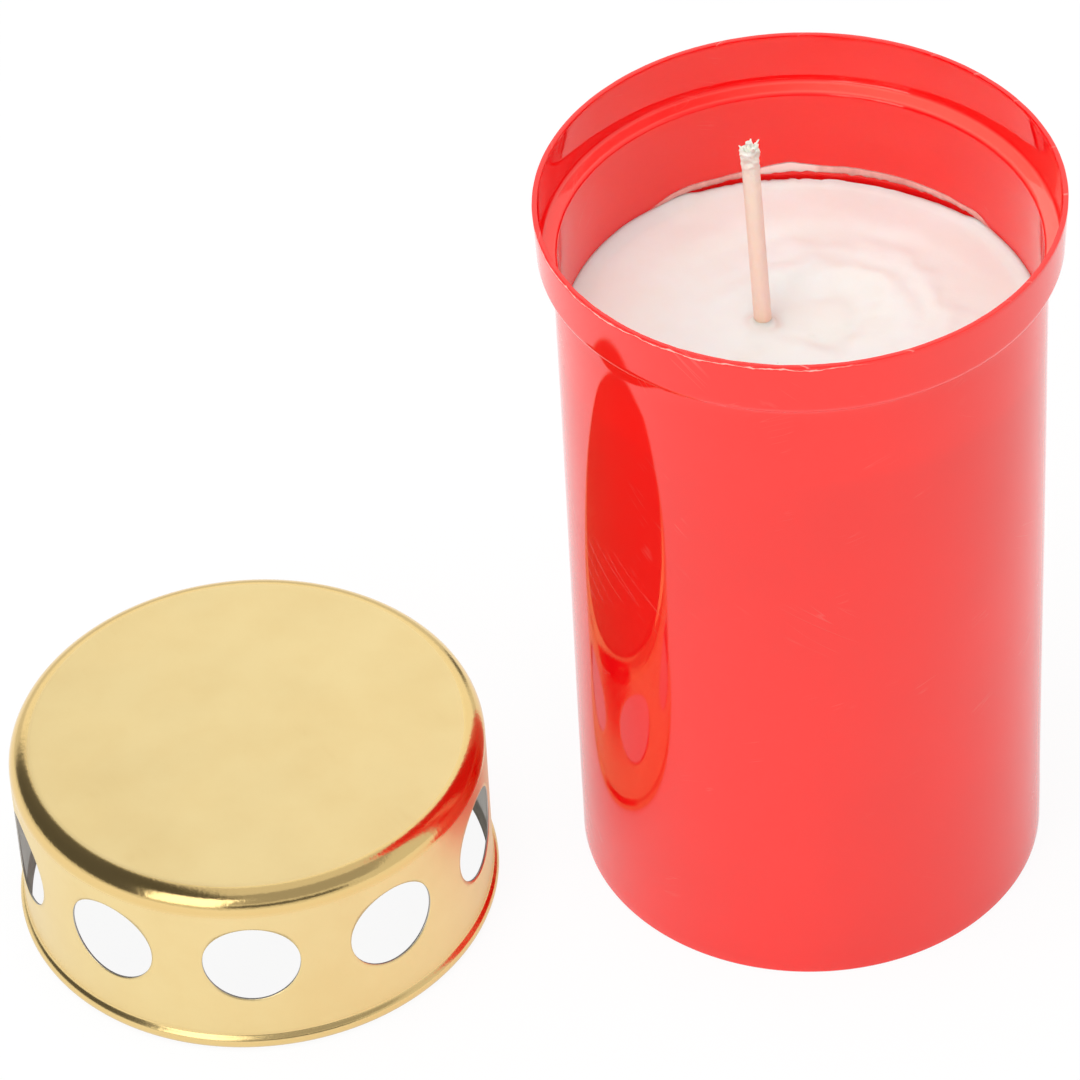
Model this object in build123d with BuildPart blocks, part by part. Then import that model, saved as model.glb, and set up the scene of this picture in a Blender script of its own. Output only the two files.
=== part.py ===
from build123d import *
import math
import os

# Sanctuary lamp: a red plastic cup of poured wax with a wick, and its ventilated
# metal lid lying beside it. Millimetres, +Z up. The origin is the centre of the
# cup's underside, on the surface that the cup and the lid both stand on.

# Cup
cup_height = 112.3
cup_radius = 32.65  # outside, at the top of the body
cup_draft = 0.2  # the foot is this much narrower than the top of the body
cup_wall = 0.7
cup_floor = 1.0
foot_fillet = 0.6
step_width = 2.15  # the collar stands this much out from the body
step_height = 1.5  # of the sloping step under the collar
step_fillet = 0.6
collar_draft = 0.2  # the mouth is this much wider than the foot of the collar
collar_depth = 7.7  # from the mouth down to the inside ledge
ledge_thickness = 0.8
ledge_fillet = 0.4

# Wax
wax_headspace = 14.4  # from the ledge down to the wax
wax_shrinkage = 0.15  # radial gap left as the wax cooled

# Wick and its sustainer
wick_x = -5.1
wick_y = 0.8
wick_diameter = 2.4
wick_core_diameter = 0.9
wick_stand = 26.6  # of the straight stretch above the bend
wick_lean = 8.7  # degrees from upright above the wax
wick_heading = 100.0  # degrees from +X that it leans towards
wick_bend_radius = 10.0
wick_clearance = 0.02  # all round, in the neck and in the wax
glue_diameter = 8.0
glue_thickness = 0.5
disc_diameter = 13.0
disc_thickness = 0.25
neck_height = 4.0
neck_wall = 0.3

# Lid
lid_gap = 10.15  # between the cup's mouth and the lid's bead, side by side
lid_height = 28.65
lid_sheet = 0.28
lid_corner_radius = 3.05  # outside
bead_clearance = 0.37  # of the bead inside the collar
bead_width = 0.73  # the bead stands this much out from the skirt
bead_roll_radius = 1.5  # outside, from the bead's widest circle down to its edge
bead_shoulder_radius = 1.0
bead_crease_radius = 0.6
vent_count = 10
vent_diameter = 13.5
vent_depth = 12.35  # of the vents' centres below the lid's top
vent_turn = 12.5  # degrees from +X to the first vent

# Worked out from the sizes above
foot_radius = cup_radius - cup_draft
collar_radius = cup_radius + step_width
mouth_radius = collar_radius + collar_draft
collar_bore_radius = mouth_radius - cup_wall
ledge_height = cup_height - collar_depth
collar_bottom = ledge_height - ledge_thickness + step_height / 2
step_bottom = collar_bottom - step_height
wax_level = ledge_height - wax_headspace
glue_top = cup_floor + glue_thickness
wick_radius = wick_diameter / 2
core_radius = wick_core_diameter / 2
neck_bore_radius = wick_radius + wick_clearance
neck_radius = neck_bore_radius + neck_wall
bead_radius = collar_bore_radius - bead_clearance
skirt_radius = bead_radius - bead_width
lid_x = -(mouth_radius + lid_gap + bead_radius)

os.makedirs("parts", exist_ok=True)


def body_radius(height):
    """Outside radius of the cup's tapered body."""
    return foot_radius + cup_draft * height / step_bottom


# The cup: one moulding, whose collar is wider than its body by a step and a ledge
with BuildPart() as cup:
    with BuildSketch(Plane.XZ):
        with BuildLine():
            profile = [
                ((0, 0), 0),
                ((foot_radius, 0), foot_fillet),
                ((cup_radius, step_bottom), step_fillet),
                ((collar_radius, collar_bottom), step_fillet),
                ((mouth_radius, cup_height), 0),
                ((collar_bore_radius, cup_height), 0),
                ((collar_bore_radius, ledge_height), ledge_fillet),
                ((body_radius(ledge_height) - cup_wall, ledge_height), ledge_fillet),
                ((body_radius(cup_floor) - cup_wall, cup_floor), 0),
                ((0, cup_floor), 0),
            ]
            corners, radii = zip(*profile)
            FilletPolyline(*corners, radius=radii, close=True)
        make_face()
    revolve(axis=Axis.Z)
cup.part.label = "cup"

# The glue dot that holds the sustainer to the cup's floor
with BuildPart() as glue_dot:
    with BuildSketch(Plane((wick_x, wick_y, cup_floor))):
        Circle(glue_diameter / 2)
    extrude(amount=glue_thickness)
glue_dot.part.label = "glue_dot"

# The sustainer: a sheet-metal disc with a neck crimped round the wick
with BuildPart() as wick_sustainer:
    with BuildSketch(Plane((wick_x, wick_y, glue_top))):
        Circle(disc_diameter / 2)
        Circle(neck_bore_radius, mode=Mode.SUBTRACT)
    extrude(amount=disc_thickness)
    with BuildSketch(Plane((wick_x, wick_y, glue_top))):
        Circle(neck_radius)
        Circle(neck_bore_radius, mode=Mode.SUBTRACT)
    extrude(amount=neck_height)
wick_sustainer.part.label = "wick_sustainer"

# The wick: upright from the glue to the wax's surface, then leaning to its tip
heading = math.radians(wick_heading)
wick_plane = Plane(
    origin=(wick_x, wick_y, glue_top),
    x_dir=(math.cos(heading), math.sin(heading), 0),
    z_dir=(math.sin(heading), -math.cos(heading), 0),
)
with BuildLine(wick_plane) as wick_path:
    upright = Line((0, 0), (0, wax_level - glue_top))
    bend = JernArc(upright @ 1, (0, 1), wick_bend_radius, -wick_lean)
    PolarLine(bend @ 1, wick_stand, direction=bend % 1)

with BuildPart() as wick_core:
    with BuildSketch(Plane((wick_x, wick_y, glue_top))):
        Circle(core_radius)
    sweep(path=wick_path.wire())
wick_core.part.label = "wick_core"

with BuildPart() as wick_braid:
    with BuildSketch(Plane((wick_x, wick_y, glue_top))):
        Circle(wick_radius)
        Circle(core_radius, mode=Mode.SUBTRACT)
    sweep(path=wick_path.wire())
wick_braid.part.label = "wick_braid"

# The wax, cast round the wick and its sustainer, and shrunk from the wall
with BuildPart() as wax:
    with BuildSketch(Plane.XZ):
        with BuildLine():
            inset = cup_wall + wax_shrinkage
            Polyline(
                (0, cup_floor),
                (body_radius(cup_floor) - inset, cup_floor),
                (body_radius(wax_level) - inset, wax_level),
                (0, wax_level),
                close=True,
            )
        make_face()
    revolve(axis=Axis.Z)
    hollows = [  # radius, lower and upper height of what the wax is cast round
        (glue_diameter / 2, cup_floor, glue_top),
        (disc_diameter / 2, glue_top, glue_top + disc_thickness),
        (neck_radius, glue_top, glue_top + neck_height),
        (wick_radius, glue_top, wax_level),
    ]
    for radius, lower, upper in hollows:
        with BuildSketch(Plane((wick_x, wick_y, lower))):
            Circle(radius + wick_clearance)
        extrude(amount=upper - lower, mode=Mode.SUBTRACT)
wax.part.label = "wax"

# The lid: one deep-drawn sheet, its edge rolled out to a bead, its skirt pierced
lid_plane = Plane(origin=(lid_x, 0, 0), x_dir=(1, 0, 0), z_dir=(0, -1, 0))
bead_turn = math.degrees(
    math.acos(1 - bead_width / (bead_crease_radius + bead_shoulder_radius))
)
crease_height = bead_roll_radius + math.sin(math.radians(bead_turn)) * (
    bead_crease_radius + bead_shoulder_radius
)
with BuildPart() as lid:
    with BuildSketch(lid_plane):
        with BuildLine():
            top = Line((0, lid_height), (skirt_radius - lid_corner_radius, lid_height))
            corner = JernArc(top @ 1, (1, 0), lid_corner_radius, -90)
            skirt = Line(corner @ 1, (skirt_radius, crease_height))
            crease = JernArc(skirt @ 1, (0, -1), bead_crease_radius, bead_turn)
            shoulder = JernArc(crease @ 1, crease % 1, bead_shoulder_radius, -bead_turn)
            JernArc(shoulder @ 1, (0, -1), bead_roll_radius, -90)
            offset(amount=lid_sheet, side=Side.RIGHT)
        make_face()
    revolve(axis=Axis((lid_x, 0, 0), (0, 0, 1)))
    vent_planes = []
    for i in range(vent_count):
        turn = math.radians(vent_turn + i * 360 / vent_count)
        outward = (math.cos(turn), math.sin(turn), 0)
        vent_planes.append(Plane((lid_x, 0, lid_height - vent_depth), z_dir=outward))
    with BuildSketch(*vent_planes):
        Circle(vent_diameter / 2)
    extrude(amount=bead_radius, mode=Mode.SUBTRACT)
lid.part.label = "lid"

for piece in (cup, wax, wick_braid, wick_core, wick_sustainer, glue_dot, lid):
    export_step(piece.part, f"parts/{piece.part.label}.step")
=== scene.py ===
import math
import random
from functools import reduce

import bmesh
import bpy
from mathutils import Matrix, Quaternion, Vector, noise


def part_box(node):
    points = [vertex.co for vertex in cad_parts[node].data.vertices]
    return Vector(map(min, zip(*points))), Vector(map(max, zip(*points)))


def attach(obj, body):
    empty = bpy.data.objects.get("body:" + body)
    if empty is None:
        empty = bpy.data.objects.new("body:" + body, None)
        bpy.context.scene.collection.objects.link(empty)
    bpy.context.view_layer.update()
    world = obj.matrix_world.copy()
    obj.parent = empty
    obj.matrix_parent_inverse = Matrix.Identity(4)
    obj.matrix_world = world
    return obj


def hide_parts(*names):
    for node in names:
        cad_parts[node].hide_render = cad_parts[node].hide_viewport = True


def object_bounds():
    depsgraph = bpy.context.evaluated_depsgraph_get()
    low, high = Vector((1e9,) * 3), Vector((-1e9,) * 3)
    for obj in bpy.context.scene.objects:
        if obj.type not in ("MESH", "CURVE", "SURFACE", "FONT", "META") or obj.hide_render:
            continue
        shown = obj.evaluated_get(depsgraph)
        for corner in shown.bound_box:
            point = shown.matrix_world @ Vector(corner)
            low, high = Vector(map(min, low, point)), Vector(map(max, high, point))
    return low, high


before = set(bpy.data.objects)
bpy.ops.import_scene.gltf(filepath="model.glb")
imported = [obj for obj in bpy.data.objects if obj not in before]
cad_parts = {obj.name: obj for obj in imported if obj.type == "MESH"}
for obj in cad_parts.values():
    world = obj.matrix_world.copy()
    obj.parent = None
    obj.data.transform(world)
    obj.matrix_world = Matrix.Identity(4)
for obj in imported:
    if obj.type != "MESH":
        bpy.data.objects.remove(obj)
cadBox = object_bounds()
mm = 0.001
weld = 1e-7  # points this close, in metres, are one
print("frame loaded", [round(v, 4) for v in cadBox[1] - cadBox[0]])


def clamp(value, low=0.0, high=1.0):
    return min(max(value, low), high)


# 0 before start, 1 after end, and an eased ramp between them.
def smooth(value, start, end):
    t = clamp((value - start) / (end - start))
    return t * t * (3 - 2 * t)


# Smooth repeatable noise between about -1 and 1.
def rough(x, y, z, octaves=1):
    total, share = 0.0, 1.0
    for _ in range(octaves):
        total += share * noise.noise(Vector((x, y, z)) / share)
        share /= 2
    return total


# Points of a circle's arc as (radius from the axis, height), without its first point.
def arc(middle, radius, start, end, steps):
    points = []
    for i in range(1, steps + 1):
        angle = math.radians(start + (end - start) * i / steps)
        points.append((middle[0] + radius * math.cos(angle), middle[1] + radius * math.sin(angle)))
    return points


def makeObject(name, bm, materials):
    mesh = bpy.data.meshes.new(name)
    bm.to_mesh(mesh)
    bm.free()
    made = bpy.data.objects.new(name, mesh)
    bpy.context.scene.collection.objects.link(made)
    for material in materials:
        mesh.materials.append(material)
    return made


def finishPiece(name, bm, materials, body, replaced=(), recalculate=True):
    bmesh.ops.remove_doubles(bm, verts=bm.verts, dist=weld)
    if recalculate:
        bmesh.ops.recalc_face_normals(bm, faces=bm.faces)
    piece = makeObject(name, bm, materials)
    for face in piece.data.polygons:
        face.use_smooth = True
    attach(piece, body)
    if replaced:
        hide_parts(*replaced)
    print("made", name, len(piece.data.polygons), "faces")
    return piece


# Turns an outline of (radius, height) points about Z.
def lathe(bm, outline, steps, closed=True):
    points = [bm.verts.new((radius, 0, height)) for radius, height in outline]
    pairs = list(zip(points, points[1:])) + ([(points[-1], points[0])] if closed else [])
    edges = [bm.edges.new(pair) for pair in pairs if pair[0].co.x + pair[1].co.x > 0]
    bmesh.ops.spin(
        bm, geom=points + edges, cent=(0, 0, 0), axis=(0, 0, 1), dvec=(0, 0, 0),
        angle=math.tau, steps=steps, use_merge=True,
    )
    bmesh.ops.remove_doubles(bm, verts=bm.verts, dist=weld)
    bmesh.ops.recalc_face_normals(bm, faces=bm.faces)


# The edges of one turned ring, found by its radius and height.
def ringEdges(bm, radius, height):
    near = 0.02 * mm

    def onRing(vert):
        return abs(vert.co.xy.length - radius) < near and abs(vert.co.z - height) < near
    return [e for e in bm.edges if onRing(e.verts[0]) and onRing(e.verts[1])]


def roundRing(bm, radius, height, size, segments):
    bmesh.ops.bevel(
        bm, geom=ringEdges(bm, radius, height), offset=size, offset_type="OFFSET",
        segments=segments, profile=0.5, affect="EDGES", material=-1,
    )


# Adds even points along a straight outline stretch from points[0] to points[1].
def stretch(points, spans):
    (r0, h0), (r1, h1) = points
    return [(r0 + (r1 - r0) * i / spans, h0 + (h1 - h0) * i / spans) for i in range(1, spans)]


camera = {
    "place": (-0.0917, -0.6115, 0.6064),
    "aim": (-0.0358, 0.0084, 0.05),
    "lens": 201.8,  # millimetres, as is the sensor
    "sensor": 36.0,
    "roll": -3.35,  # degrees
    "nearest": 10 * mm,
}


def makeCamera():
    data = bpy.data.cameras.new("camera")
    data.lens = camera["lens"]
    data.sensor_width = camera["sensor"]
    data.clip_start = camera["nearest"]
    eye = bpy.data.objects.new("camera", data)
    bpy.context.scene.collection.objects.link(eye)
    place = Vector(camera["place"])
    turn = (Vector(camera["aim"]) - place).to_track_quat("-Z", "Y")
    turn = turn @ Quaternion((0, 0, 1), math.radians(camera["roll"]))
    eye.matrix_world = Matrix.Translation(place) @ turn.to_matrix().to_4x4()
    bpy.context.scene.camera = eye


makeCamera()


# Places nodes in one tree and joins them by name.
class Nodes:
    def __init__(self, tree):
        self.tree = tree

    def add(self, kind, **settings):
        node = self.tree.nodes.new("ShaderNode" + kind)
        for name, value in settings.items():
            setattr(node, name, value)
        return node

    def join(self, source, target):
        self.tree.links.new(source, target)

    # Sets one input to a value, or joins it to another node's output.
    def fill(self, socket, value):
        if isinstance(value, bpy.types.NodeSocket):
            self.join(value, socket)
        else:
            socket.default_value = value

    def fillAll(self, node, values):
        for name, value in values.items():
            self.fill(node.inputs[name], value)
        return node.outputs

    def math(self, operation, a, b=0.0, limit=False):
        node = self.add("Math", operation=operation, use_clamp=limit)
        self.fill(node.inputs[0], a)
        self.fill(node.inputs[1], b)
        return node.outputs[0]

    def times(self, *values, limit=False):
        return reduce(lambda a, b: self.math("MULTIPLY", a, b, limit), values)

    def plus(self, *values, limit=False):
        return reduce(lambda a, b: self.math("ADD", a, b, limit), values)

    def minus(self, a, b, limit=False):
        return self.math("SUBTRACT", a, b, limit)

    def apart(self, a, b):
        return self.math("ABSOLUTE", self.minus(a, b))

    # Eases from toLow, up to low, to toHigh, from high on. low may be the larger of the two.
    def ramp(self, value, low, high, toLow=0.0, toHigh=1.0):
        node = self.add("MapRange", interpolation_type="SMOOTHSTEP")
        return self.fillAll(node, {"Value": value, "From Min": low, "From Max": high,
                                   "To Min": toLow, "To Max": toHigh})["Result"]

    # 1 up to low and 0 from high.
    def fall(self, value, low, high):
        return self.minus(1.0, self.ramp(value, low, high))

    def noise(self, vector, scale, detail=2.0, roughness=0.5):
        return self.fillAll(self.add("TexNoise"), {
            "Vector": vector, "Scale": scale, "Detail": detail, "Roughness": roughness})["Fac"]

    # Scattered round dots, 1 within their inner size and 0 beyond the outer.
    def dots(self, vector, scale, inner, outer):
        cells = self.add("TexVoronoi", feature="F1")
        distance = self.fillAll(cells, {"Vector": vector, "Scale": scale})["Distance"]
        return self.fall(distance, inner, outer)

    def mix(self, factor, a, b):
        node = self.add("Mix", data_type="RGBA")
        self.fill(node.inputs["Factor"], factor)
        for socket, given in ((node.inputs[6], a), (node.inputs[7], b)):
            self.fill(socket, (*given, 1) if isinstance(given, tuple) else given)
        return node.outputs[2]

    def bump(self, height, distance, normal=None):
        node = self.add("Bump")
        under = {"Normal": normal} if normal else {}
        return self.fillAll(node, {"Height": height, "Distance": distance, **under})["Normal"]

    def mapping(self, vector, **values):
        node = self.add("Mapping", vector_type="POINT")
        return self.fillAll(node, {"Vector": vector, **values})["Vector"]

    # Object coordinates, counted from a piece's own centre.
    def place(self, centre=(0, 0, 0)):
        return self.mapping(self.add("TexCoord").outputs["Object"], Location=[-c for c in centre])

    def split(self, vector):
        return self.fillAll(self.add("SeparateXYZ"), {"Vector": vector})

    def group(self, tree, **values):
        return self.fillAll(self.add("Group", node_tree=tree), values)


# Starts a node group with these inputs (name, kind, value) and outputs (name, kind).
def startGroup(name, inputs, outputs):
    tree = bpy.data.node_groups.new(name, "ShaderNodeTree")
    for socket, kind, value in inputs:
        made = tree.interface.new_socket(socket, in_out="INPUT", socket_type="NodeSocket" + kind)
        if value is not None:
            made.default_value = value
    for socket, kind in outputs:
        tree.interface.new_socket(socket, in_out="OUTPUT", socket_type="NodeSocket" + kind)
    given = tree.nodes.new("NodeGroupInput").outputs
    return tree, Nodes(tree), given, tree.nodes.new("NodeGroupOutput").inputs


# Unrolls a round wall: X runs along its length round the axis, Y up it, Z out of it.
def makeWrapGroup():
    tree, nodes, given, out = startGroup(
        "unrolledWall", [("Place", "Vector", None)], [("Wall", "Vector"), ("Radius", "Float")])
    x, y, z = nodes.split(given["Place"])
    radius = nodes.math("SQRT", nodes.plus(nodes.times(x, x), nodes.times(y, y)))
    along = nodes.times(nodes.math("ARCTAN2", y, x), radius)
    wall = nodes.fillAll(nodes.add("CombineXYZ"), {"X": along, "Y": z, "Z": radius})
    nodes.join(wall["Vector"], out["Wall"])
    nodes.join(radius, out["Radius"])
    return tree


# Fine all-over grain as a normal, with a slow waviness under it.
def makeGrainGroup():
    tree, nodes, given, out = startGroup(
        "fineGrain",
        [("Place", "Vector", None), ("Scale", "Float", 9000.0), ("Depth", "Float", 0.00001),
         ("Wave Scale", "Float", 60.0), ("Wave Depth", "Float", 0.00002)],
        [("Normal", "Vector")])
    fine = nodes.noise(given["Place"], given["Scale"], 3.0, 0.6)
    wave = nodes.noise(given["Place"], given["Wave Scale"], 1.0, 0.4)
    under = nodes.bump(wave, given["Wave Depth"])
    nodes.join(nodes.bump(fine, given["Depth"], under), out["Normal"])
    return tree


# Hair-thin scratches: thin bands of a long stretched noise, kept only in patches.
def makeScratchGroup():
    tree, nodes, given, out = startGroup(
        "hairScratches",
        [("Place", "Vector", None), ("Turn", "Float", 0.6), ("Scale", "Float", 500.0),
         ("Width", "Float", 0.012), ("Patch Scale", "Float", 90.0), ("Amount", "Float", 0.5)],
        [("Mask", "Float")])
    turned = nodes.add("VectorRotate", rotation_type="Z_AXIS")
    turned = nodes.fillAll(turned, {"Vector": given["Place"], "Angle": given["Turn"]})["Vector"]
    bands = nodes.noise(nodes.mapping(turned, Scale=(0.06, 1.0, 0.3)), given["Scale"], 2.0, 0.4)
    line = nodes.fall(nodes.apart(bands, 0.5), 0.0, given["Width"])
    patch = nodes.noise(given["Place"], given["Patch Scale"])
    least = nodes.minus(1.0, given["Amount"])
    nodes.join(nodes.times(line, nodes.ramp(patch, least, nodes.plus(least, 0.08))), out["Mask"])
    return tree


# Uneven gloss from handling: soft smudges over fine dust specks.
def makeHandlingGroup():
    tree, nodes, given, out = startGroup(
        "handledGloss",
        [("Place", "Vector", None), ("Roughness", "Float", 0.2), ("Spread", "Float", 0.05),
         ("Scale", "Float", 120.0), ("Speck Scale", "Float", 2600.0)],
        [("Roughness", "Float")])
    smudge = nodes.noise(given["Place"], given["Scale"], 3.0, 0.6)
    swing = nodes.times(nodes.minus(smudge, 0.5), given["Spread"])
    patches = nodes.noise(given["Place"], nodes.times(given["Speck Scale"], 0.31), 0.0)
    dots = nodes.dots(given["Place"], given["Speck Scale"], 0.02, 0.07)
    dust = nodes.times(dots, nodes.ramp(patches, 0.66, 0.7), 0.25)
    nodes.join(nodes.plus(given["Roughness"], swing, dust, limit=True), out["Roughness"])
    return tree


unrolledWall = makeWrapGroup()
fineGrain = makeGrainGroup()
hairScratches = makeScratchGroup()
handledGloss = makeHandlingGroup()


def newMaterial(name):
    material = bpy.data.materials.new(name)
    material.use_nodes = True
    nodes = Nodes(material.node_tree)
    shader = next(n for n in material.node_tree.nodes if n.type == "BSDF_PRINCIPLED")
    return material, nodes, shader


# How light is carried through a piece, from its own sizes.
def glowOf(sizes):
    return {"Subsurface Weight": sizes["glow"], "Subsurface Radius": sizes["glowReach"],
            "Subsurface Scale": sizes["glowDepth"]}


cup = {
    "wall": 0.7 * mm,
    "floor": 1.0 * mm,
    "draft": 0.2 * mm,
    "footFillet": 0.6 * mm,
    "footWidth": 3.0 * mm,  # of the ring that it stands on
    "recess": 0.35 * mm,
    "rubbedAt": 77 * mm,  # round the wall from +X, turning by the front
    "gateRadius": 1.6 * mm,  # the moulding mark under the floor
    "stepWidth": 2.01 * mm,
    "stepHeight": 1.5 * mm,
    "stepFillet": 0.55 * mm,
    "collarDraft": 0.34 * mm,
    "collarDepth": 7.7 * mm,
    "ledge": 0.8 * mm,
    "ledgeFillet": 0.55 * mm,
    "ledgeCrown": 0.6 * mm,  # rounding of its inner edge
    "ledgeFall": 0.3 * mm,  # it slopes down to that edge
    "edgeFillet": 0.1 * mm,
    "steps": 360,
    "bodySpans": 44,
    "burr": 0.10 * mm,  # how far the trimmed edge wanders
    "red": (0.98, 0.003, 0.006),
    "edgePink": (0.95, 0.50, 0.44),
    # pale pink painted on the ledge as a painted highlight
    "paintedLedgeHighlight": (0.98, 0.30, 0.22),
    # warm tint on its reflections: a painted warm reflection
    "gloss": (1.0, 0.99, 0.84),
    "ior": 1.70,
    "handled": {"Roughness": 0.045, "Spread": 0.05, "Scale": 70.0, "Speck Scale": 1500.0},
    "scuffs": {"Turn": 0.62, "Scale": 420.0, "Width": 0.010, "Amount": 0.40, "Patch Scale": 55.0},
    "rubs": {"Turn": -0.35, "Scale": 900.0, "Width": 0.02, "Amount": 0.36, "Patch Scale": 140.0},
    "deepScuffs": {"Turn": 0.75, "Scale": 620.0, "Width": 0.03, "Amount": 0.50, "Patch Scale": 130.0},
    "cutDepth": 0.012 * mm,  # of the scuffs
    "grainDepth": 0.0006 * mm,
    "waviness": 0.09 * mm,  # of the moulded wall
    "sway": 0.09 * mm,  # how far the wall is out of true
    "glow": 0.30,  # light carried through the plastic
    "glowReach": (1.0, 0.12, 0.08),
    "glowDepth": 2.0 * mm,
}


# The cup's heights and radii, from the frame and its own sizes.
def cupSizes():
    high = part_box("cup")[1]
    s = {"mouth": high.x, "top": high.z}
    s["bore"] = s["mouth"] - cup["wall"]
    s["collar"] = s["mouth"] - cup["collarDraft"]
    s["body"] = s["collar"] - cup["stepWidth"]
    s["foot"] = s["body"] - cup["draft"]
    s["ledge"] = s["top"] - cup["collarDepth"]
    s["collarFoot"] = s["ledge"] - cup["ledge"] + cup["stepHeight"] / 2
    s["stepFoot"] = s["collarFoot"] - cup["stepHeight"]
    return s


size = cupSizes()


def bodyRadius(height):
    return size["foot"] + cup["draft"] * height / size["stepFoot"]


def makeRedPlastic():
    material, nodes, shader = newMaterial("redPlastic")
    place = nodes.place()
    x, y, z = nodes.split(place)
    wall, radius = nodes.group(unrolledWall, Place=place)
    around, up, _ = nodes.split(wall)
    scuffs, rubs, deepScuffs = (nodes.group(hairScratches, Place=wall, **cup[kind])["Mask"]
                                for kind in ("scuffs", "rubs", "deepScuffs"))
    marks = nodes.math("MAXIMUM", scuffs, nodes.times(rubs, 0.6))
    # The trimmed edge is strained and paler, and the knife left a ragged flash at the front left
    trimmed = nodes.mapping(wall, Scale=(1.0, 0.0, 0.0))
    wander = nodes.noise(trimmed, 210.0, 3.0, 0.6)
    middle = nodes.ramp(wander, 0.3, 0.7, size["top"] - 0.62 * mm, size["top"] - 0.16 * mm)
    reach = nodes.ramp(nodes.noise(trimmed, 520.0), 0.4, 0.7, 0.03 * mm, 0.17 * mm)
    flash = nodes.math("LESS_THAN", nodes.apart(z, middle), reach)
    outer = nodes.math("GREATER_THAN", radius, size["mouth"] - 0.16 * mm)
    frontLeft = nodes.ramp(nodes.plus(x, y), -30 * mm, -40 * mm)
    rim = nodes.ramp(z, size["top"] - 0.25 * mm, size["top"] - 0.12 * mm)
    specks = nodes.ramp(nodes.noise(trimmed, 380.0, 3.0, 0.6), 0.60, 0.68)
    pale = nodes.math("MAXIMUM", nodes.times(flash, outer, frontLeft), nodes.times(rim, specks, 0.45))
    # The rubbed place on the left of the wall
    beside = nodes.fall(nodes.apart(around, -cup["rubbedAt"]), 2.5 * mm, 5.5 * mm)
    rubbed = nodes.times(deepScuffs, beside, nodes.ramp(up, 52 * mm, 66 * mm))
    deep = tuple(c * 0.93 for c in cup["red"])
    base = nodes.mix(nodes.ramp(nodes.noise(place, 26.0), 0.35, 0.65), cup["red"], deep)
    base = nodes.mix(nodes.times(marks, 0.07), base, cup["edgePink"])
    base = nodes.mix(nodes.times(rubbed, 0.08), base, cup["edgePink"])
    # The ledge is painted paler too, a painted highlight, most of all on the right
    ledge, inner = size["ledge"], size["body"] - cup["wall"]
    level = nodes.times(nodes.ramp(z, ledge - 0.9 * mm, ledge - 0.5 * mm),
                        nodes.ramp(z, ledge + 0.5 * mm, ledge + 0.2 * mm))
    across = nodes.times(nodes.ramp(radius, inner + 0.05 * mm, inner + 0.4 * mm),
                         nodes.ramp(radius, inner + 2.3 * mm, inner + 1.9 * mm))
    toRight = nodes.ramp(x, -15 * mm, 22 * mm, 0.08, 0.42)
    base = nodes.mix(nodes.times(level, across, toRight), base, cup["paintedLedgeHighlight"])
    base = nodes.mix(nodes.times(pale, 0.9, limit=True), base, cup["edgePink"])
    gloss = nodes.group(handledGloss, Place=place, **cup["handled"])["Roughness"]
    wear = (nodes.times(marks, 0.14), nodes.times(rubbed, 0.14), nodes.times(pale, 0.3))
    waves = nodes.bump(nodes.noise(wall, 42.0, 1.0, 0.3), cup["waviness"])
    cuts = nodes.bump(nodes.times(marks, -1.0), cup["cutDepth"], waves)
    # Specular Tint warms every reflection: a painted warm reflection
    nodes.fillAll(shader, {
        "Base Color": base, "Roughness": nodes.plus(gloss, *wear, limit=True),
        "Normal": nodes.bump(nodes.noise(place, 5200.0), cup["grainDepth"], cuts),
        "IOR": cup["ior"], "Specular Tint": (*cup["gloss"], 1), **glowOf(cup)})
    return material


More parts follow.
